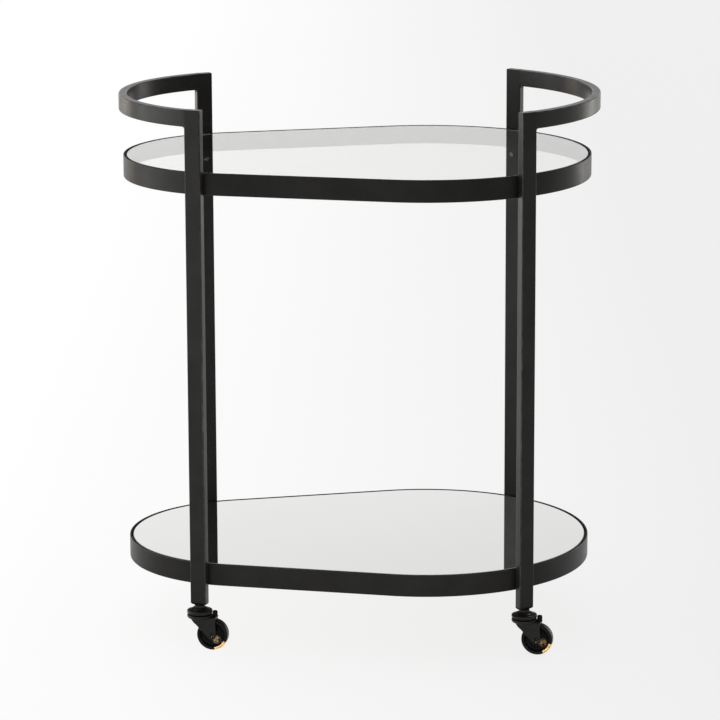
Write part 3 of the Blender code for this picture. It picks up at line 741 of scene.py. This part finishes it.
def build_cup(corner, place):
    """Pressed bearing cup with a domed top and a rolled rim."""
    bm = bmesh.new()
    profile = [(0.0083, CUP_TOP), (0.0083, CUP_TOP + 0.0032), (0.0104, CUP_TOP + 0.0028)]
    profile += [(0.0132, CUP_TOP + 0.0012), (0.0168, CUP_TOP), (CUP_R - 0.0006, CUP_TOP - 0.0008)]
    profile += [(CUP_R, CUP_TOP - 0.0020), (CUP_R - 0.0003, CUP_LOW + 0.0014)]
    profile += [(CUP_R - 0.0013, CUP_LOW + 0.0003)]
    profile += [(CUP_R - 0.0024, CUP_LOW), (0.0043, CUP_LOW), (0.0043, CUP_TOP - 0.0004)]
    lathe(bm, softened(profile, 0.0007), 72, bored=True)
    node = f"caster_{corner}_cup"
    add_piece(node + "_fine", bm, CASTER, replaces=[node], place=place)


def arm_outline():
    """Side view of the fork arm: wide below the plate, round about the axle."""
    hub_z = HUB_SPOT["front_left"].z
    points = [(-0.0128, PLATE_LOW + 0.0026), (-0.0122, PLATE_LOW + 0.0002)]
    points += [(-0.0085, PLATE_LOW - 0.0040), (0.0040, hub_z + 0.0072)]
    for i in range(13):
        angle = math.radians(214 + 11.5 * i)
        points.append((TRAIL + ARM_END_R * math.cos(angle), hub_z + ARM_END_R * math.sin(angle)))
    points += [(0.0262, hub_z + 0.0100), (0.0254, PLATE_LOW - 0.0030), (0.0246, PLATE_LOW + 0.0012)]
    points.append((0.0234, PLATE_LOW + 0.0026))
    return points


def build_fork(corner, place):
    """Pressed fork: plate, two arms with turned edges, front web, tail, lip and stop knob."""
    bm = bmesh.new()
    profile = [(0.0046, PLATE_TOP), (CUP_R - 0.0026, PLATE_TOP), (CUP_R - 0.0002, PLATE_TOP - 0.0010)]
    profile += [(CUP_R, PLATE_LOW + 0.0032), (CUP_R - 0.0008, PLATE_LOW + 0.0012)]
    profile += [(CUP_R - 0.0030, PLATE_LOW), (0.0046, PLATE_LOW)]
    lathe(bm, softened(profile, 0.0008), 72, bored=True)
    outline = arm_outline()
    for sign in (-1, 1):
        rings = []
        for depth, inset in ARM_EDGE:
            y = sign * (FORK_HALF - depth)
            ring = []
            for x, z in outline:
                pull = (ARM_CENTRE - Vector((x, z))).normalized() * inset
                ring.append((x + pull.x, y, z + pull.y))
            rings.append(ring)
        skin(bm, rings, False)
    web = rounded_section(2 * FORK_HALF - 0.0009, 0.0016, 0.0007)
    spine = [(-0.0116, PLATE_LOW + 0.0020), (-0.0112, PLATE_LOW - 0.0006), (-0.0088, PLATE_LOW - 0.0036)]
    spine += [(-0.0056, PLATE_LOW - 0.0066), (-0.0030, PLATE_LOW - 0.0090)]
    rings = []
    for (x0, z0), (x1, z1) in zip(spine[:1] + spine[:-1], spine[1:] + spine[-1:]):
        along = Vector((x1 - x0, z1 - z0)).normalized()
        middle = Vector(((x0 + x1) / 2, (z0 + z1) / 2))
        rings.append([(middle.x - along.y * v, u, middle.y + along.x * v) for u, v, _ in web])
    skin(bm, rings, False)
    tail = rounded_section(2 * FORK_HALF - 0.0008, 0.0026, 0.0008)
    rings = []
    for x, scale in ((0.0090, 1.0), (0.0246, 1.0), (0.0251, 0.97), (0.0254, 0.90)):
        rings.append([(x, u * scale, PLATE_LOW + 0.0016 + v * scale) for u, v, _ in tail])
    skin(bm, rings, False)
    lip = rounded_section(2 * FORK_HALF - 0.0010, 0.0022, 0.0007)
    rings = []
    for x, scale in ((0.0228, 0.96), (0.0232, 1.0), (0.0256, 1.0), (0.0260, 0.96)):
        rings.append([(x, u * scale, PLATE_LOW + 0.0003 + v * scale) for u, v, _ in lip])
    skin(bm, rings, False)
    plain_faces = len(bm.faces)
    stop = [(0.0, CUP_TOP - 0.0012), (STOP_R * 0.6, CUP_TOP - 0.0013), (STOP_R * 0.94, CUP_TOP - 0.0020)]
    stop += [(STOP_R, CUP_TOP - 0.0034), (STOP_R, PLATE_LOW + 0.0022), (0.0, PLATE_LOW + 0.0020)]
    knob = bmesh.new()
    lathe(knob, softened(stop, 0.0008), 28)
    bmesh.ops.translate(knob, verts=knob.verts, vec=(STOP_X, 0, 0))
    joined = bpy.data.meshes.new("stop_knob")
    knob.to_mesh(joined)
    knob.free()
    bm.from_mesh(joined)
    bpy.data.meshes.remove(joined)
    for i, face in enumerate(bm.faces):
        face.material_index = 1 if i >= plain_faces else 0
    node = f"caster_{corner}_fork"
    body = corner + "_swivel"
    add_piece(node + "_fine", bm, [CASTER, KNOB], body, [node], place)


def mirrored(half):
    """Half a profile and its mirror image below."""
    return half + [(radius, -height) for radius, height in reversed(half)]


def build_wheel(corner, place):
    """Axle rivet, recessed wheel disc and raised outer ring with its brass stretch."""
    hub = place @ Matrix.Translation((TRAIL, 0, HUB_SPOT[corner].z))
    bm = bmesh.new()
    head = FORK_HALF + 0.0002
    half = [(0.0, head + 0.0005), (0.0012, head + 0.0005), (0.0018, head + 0.0013)]
    half += [(0.0028, head + 0.0014), (0.0039, head + 0.0008), (0.0041, head), (0.0022, head)]
    lathe(bm, softened(mirrored(half), 0.0003), 32, axis="Y")
    node = f"caster_{corner}_axle"
    add_piece(node + "_fine", bm, RIVET, corner + "_swivel", [node], hub)

    bm = bmesh.new()
    inner = FORK_HALF - FORK_WALL - 0.0005
    half = [(0.0025, inner), (0.0052, inner), (0.0060, 0.0050), (0.0066, 0.0041)]
    half += [(0.0100, 0.0037), (0.0154, 0.0037), (0.0171, 0.0044), (0.0177, 0.0068)]
    half.append((RING_INNER_R - 0.0002, 0.0070))
    lathe(bm, softened(mirrored(half), 0.0006), 72, bored=True, axis="Y")
    node = f"caster_{corner}_wheel"
    add_piece(node + "_fine", bm, WHEEL[side_of(corner)], corner + "_wheel", [node], hub)

    bm = bmesh.new()
    half = [(RING_INNER_R, WHEEL_HALF - 0.0002), (RING_INNER_R + 0.0006, WHEEL_HALF)]
    half += [(WHEEL_R - 0.0016, WHEEL_HALF), (WHEEL_R - 0.0004, WHEEL_HALF - 0.0010)]
    half.append((WHEEL_R, WHEEL_HALF - 0.0028))
    lathe(bm, softened(mirrored(half), 0.0006), 120, bored=True, axis="Y")
    start, end = BRASS_ARCS[corner]
    for face in bm.faces:
        centre = face.calc_center_median()
        angle = math.degrees(math.atan2(centre.z, centre.x))
        face.material_index = 1 if start < angle < end else 0
    node = f"caster_{corner}_tread"
    add_piece(node + "_fine", bm, [TREAD, BRASS], corner + "_wheel", [node], hub)


for corner in CORNERS:
    build_leg(corner)
    build_fillet(corner)
    build_plug(corner)
    for level, short in (("top", "top"), ("bottom", "low")):
        build_lug(level, corner)
        build_screw(f"screw_{short}_{corner}", level, corner)
    at = caster_frame(corner)
    build_stem(corner, at)
    build_cup(corner, at)
    build_fork(corner, at)
    build_wheel(corner, at)
for side in ("left", "right"):
    build_handle(side)
for level in ("top", "bottom"):
    build_rim("rim_" + level, level)
    build_ledge("ledge_" + level)
build_shelves()
for node in sorted(frame["nodes"]):
    if node.startswith("glass_pad_"):
        build_pad(node)


# ---------------------------------------------------------------- floor, light and camera
FLOOR_RADIUS = 60.0
FLOOR_FADE = 0.66                    # half the width over which the floor's painted glow changes, brighter on the left
FLOOR_GLOW_LEFT, FLOOR_GLOW_RIGHT = 0.920, 0.782
FLOOR_DARK, FLOOR_LIGHT = (0.095, 0.095, 0.095), (0.105, 0.105, 0.105)
SURROUND_DIM, SURROUND_BRIGHT = 0.12, 0.93
SURROUND_LEFT, SURROUND_RIGHT = 1.065, 0.925
OVERHEAD_GLOW = 0.40
WHITE = (1, 1, 1)
LAMPS = (                            # name, place, point it faces, size, watts, colour
    ("left_low", (-2.4, -0.45, 0.70), (0, -0.45, 0.65), (2.6, 1.3), 29, WHITE),
    ("right_low", (2.4, 0.35, 0.20), (0, 0.1, 0.2), (1.6, 0.35), 0.4, WHITE),
    ("left_floor", (-0.95, 0.0, 0.05), (0, 0, 0.08), (0.8, 0.08), 0.3, WHITE),
    ("right_floor", (0.95, 0.1, 0.05), (0, 0, 0.08), (0.8, 0.08), 0.35, WHITE),
    ("left_high", (-2.4, -0.9, 1.35), (0, -0.2, 0.8), (1.4, 0.6), 11, WHITE),
    ("front_left", (-2.0, -2.2, 0.3), (0, 0, 0.2), (1.2, 0.6), 1.4, WHITE),
    ("front_low", (0.0, -1.3, 0.10), (0, 0, 0.12), (2.0, 0.15), 6, WHITE),
    ("top_back", (0.0, 1.3, 2.5), (0, 0, 0.7), (3.0, 0.5), 20, WHITE),
    ("left_back", (-2.0, 1.7, 0.8), (0, 0, 0.5), (0.6, 0.9), 5, (1.0, 0.80, 0.62)),
    ("right_back", (2.0, 1.7, 0.6), (0, 0, 0.4), (0.6, 0.9), 5, (1.0, 0.94, 0.88)),
)
CAMERA_LENS = 183.45
CAMERA_PLACE = (-0.0051, -5.4987, 1.6590)
CAMERA_TILT, CAMERA_PAN, CAMERA_ROLL = 0.22445, -0.0008, -0.0035


def build_floor():
    """Plain pale floor, lit from below like a light table so that shadows stay faint; its glow is painted
    brighter on the left than on the right.
    """
    bm = bmesh.new()
    bmesh.ops.create_circle(bm, cap_ends=True, segments=96, radius=FLOOR_RADIUS)
    mesh = bpy.data.meshes.new("floor")
    bm.to_mesh(mesh)
    bm.free()
    mat, tree, shader = new_material("pale_floor")
    coords = add(tree, "TexCoord").outputs["Object"]
    cloud = noise(tree, coords, 1.5, 3.0)
    tree.links.new(mixed(tree, cloud, FLOOR_DARK, FLOOR_LIGHT), shader.inputs["Base Color"])
    shader.inputs["Roughness"].default_value = 0.9
    shader.inputs["Specular IOR Level"].default_value = 0.1
    across = add(tree, "SeparateXYZ", {0: coords}).outputs["X"]
    glow = remap(tree, across, -FLOOR_FADE, FLOOR_FADE, FLOOR_GLOW_LEFT, FLOOR_GLOW_RIGHT)
    tree.links.new(glow, shader.inputs["Emission Color"])
    shader.inputs["Emission Strength"].default_value = 1.0
    mesh.materials.append(mat)
    floor = bpy.data.objects.new("floor", mesh)
    bpy.context.scene.collection.objects.link(floor)


def area_light(name, place, target, size, power, color):
    """Soft lamp that faces the target and lights only the pieces in LAMP_LIT."""
    data = bpy.data.lights.new(name, "AREA")
    data.shape = "RECTANGLE"
    data.size, data.size_y = size
    data.energy = power
    data.color = color
    lamp = bpy.data.objects.new(name, data)
    lamp.visible_camera = False
    lamp.light_linking.receiver_collection = LAMP_LIT
    lamp.location = place
    lamp.rotation_euler = (Vector(target) - Vector(place)).to_track_quat("-Z", "Y").to_euler()
    bpy.context.scene.collection.objects.link(lamp)


def build_world():
    """Soft studio surround: bright behind and in a band all round, weaker overhead."""
    world = bpy.data.worlds.new("studio")
    bpy.context.scene.world = world
    world.use_nodes = True
    tree = world.node_tree
    ground = tree.nodes["Background"]
    direction = add(tree, "TexCoord").outputs["Generated"]
    split = add(tree, "SeparateXYZ", {0: direction})
    back = remap(tree, split.outputs["Y"], -0.2, 0.7, 0.0, 1.0)
    rise = remap(tree, split.outputs["Z"], 0.05, 0.13, 0.0, 1.0)
    fall = remap(tree, split.outputs["Z"], 0.36, 0.60, 1.0, 0.0)
    round_about = times(tree, rise, fall)
    bright = times(tree, back, round_about, "MAXIMUM")
    behind = remap(tree, bright, 0.0, 1.0, SURROUND_DIM, SURROUND_BRIGHT)
    across = remap(tree, split.outputs["X"], -0.1, 0.1, SURROUND_LEFT, SURROUND_RIGHT)
    upward = remap(tree, split.outputs["Z"], 0.258, 0.282, 1.0, 0.93)
    above = remap(tree, split.outputs["Z"], 0.45, 0.95, 0.0, OVERHEAD_GLOW)
    round_glow = times(tree, times(tree, behind, across), upward)
    glow = times(tree, round_glow, above, "ADD")
    tree.links.new(glow, ground.inputs["Strength"])
    ground.inputs["Color"].default_value = (1.0, 1.0, 1.0, 1.0)


def build_camera():
    """Long lens in front of the cart, a little above it."""
    data = bpy.data.cameras.new("camera")
    data.sensor_width = 36.0
    data.lens = CAMERA_LENS
    camera = bpy.data.objects.new("camera", data)
    pan = Matrix.Rotation(CAMERA_PAN, 4, "Z")
    tilt = Matrix.Rotation(math.pi / 2 - CAMERA_TILT, 4, "X")
    roll = Matrix.Rotation(CAMERA_ROLL, 4, "Z")
    look = pan @ tilt @ roll
    camera.matrix_world = Matrix.Translation(CAMERA_PLACE) @ look
    bpy.context.scene.collection.objects.link(camera)
    bpy.context.scene.camera = camera


build_floor()
build_world()
for lamp in LAMPS:
    area_light(*lamp)
build_camera()
bpy.context.scene.view_settings.view_transform = "Standard"

bpy.context.view_layer.update()
